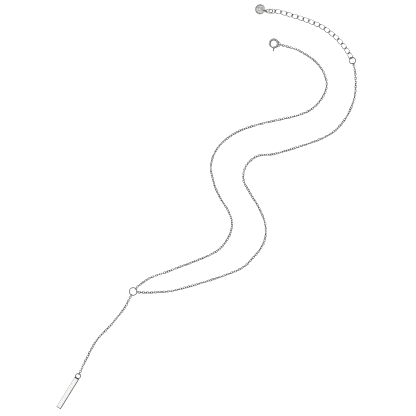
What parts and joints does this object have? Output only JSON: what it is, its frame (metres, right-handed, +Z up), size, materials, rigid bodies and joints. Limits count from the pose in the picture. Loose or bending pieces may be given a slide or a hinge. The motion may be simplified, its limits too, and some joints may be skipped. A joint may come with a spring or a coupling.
{
  "type": "y necklace",
  "caption": "Fine silver Y necklace of cable chain with a slim bar drop, spring ring clasp, curb extension chain and round tag, lying open on a surface.",
  "frame": {"origin": "bottom centre of the box of the necklace as it lies on the surface", "axes": "+Z up from the surface, +Y up the picture from the bar towards the tag, +X to the picture's right"},
  "size_m": [0.1446, 0.1948, 0.0024],
  "materials": {
    "silver": "polished silver"
  },
  "bodies": {
    "necklace": {"clasp_ring": "silver", "clasp_link": "silver", "left_chain": "silver", "right_chain": "silver", "y_ring": "silver", "drop_chain": "silver", "bar_pendant": "silver", "end_ring": "silver", "extension_link_01": "silver", "extension_link_02": "silver", "extension_link_03": "silver", "extension_link_04": "silver", "extension_link_05": "silver", "extension_link_06": "silver", "extension_link_07": "silver", "extension_link_08": "silver", "extension_link_09": "silver", "extension_link_10": "silver", "extension_link_11": "silver", "extension_link_12": "silver", "extension_link_13": "silver", "extension_link_14": "silver", "extension_link_15": "silver", "extension_link_16": "silver", "extension_link_17": "silver", "extension_link_18": "silver", "tag_ring": "silver", "tag": "silver"},
    "bolt": {"clasp_bolt": "silver"}
  },
  "joints": [
    {"name": "bolt_slide", "type": "hinge", "parent": "necklace", "child": "bolt", "pos_m": [0.03228, 0.07846, 0.00066], "axis": [0, 0, 1], "range_deg": [0, 44], "stiffness_Nm_per_rad": 0.004, "springref_deg": -28.65}
  ]
}
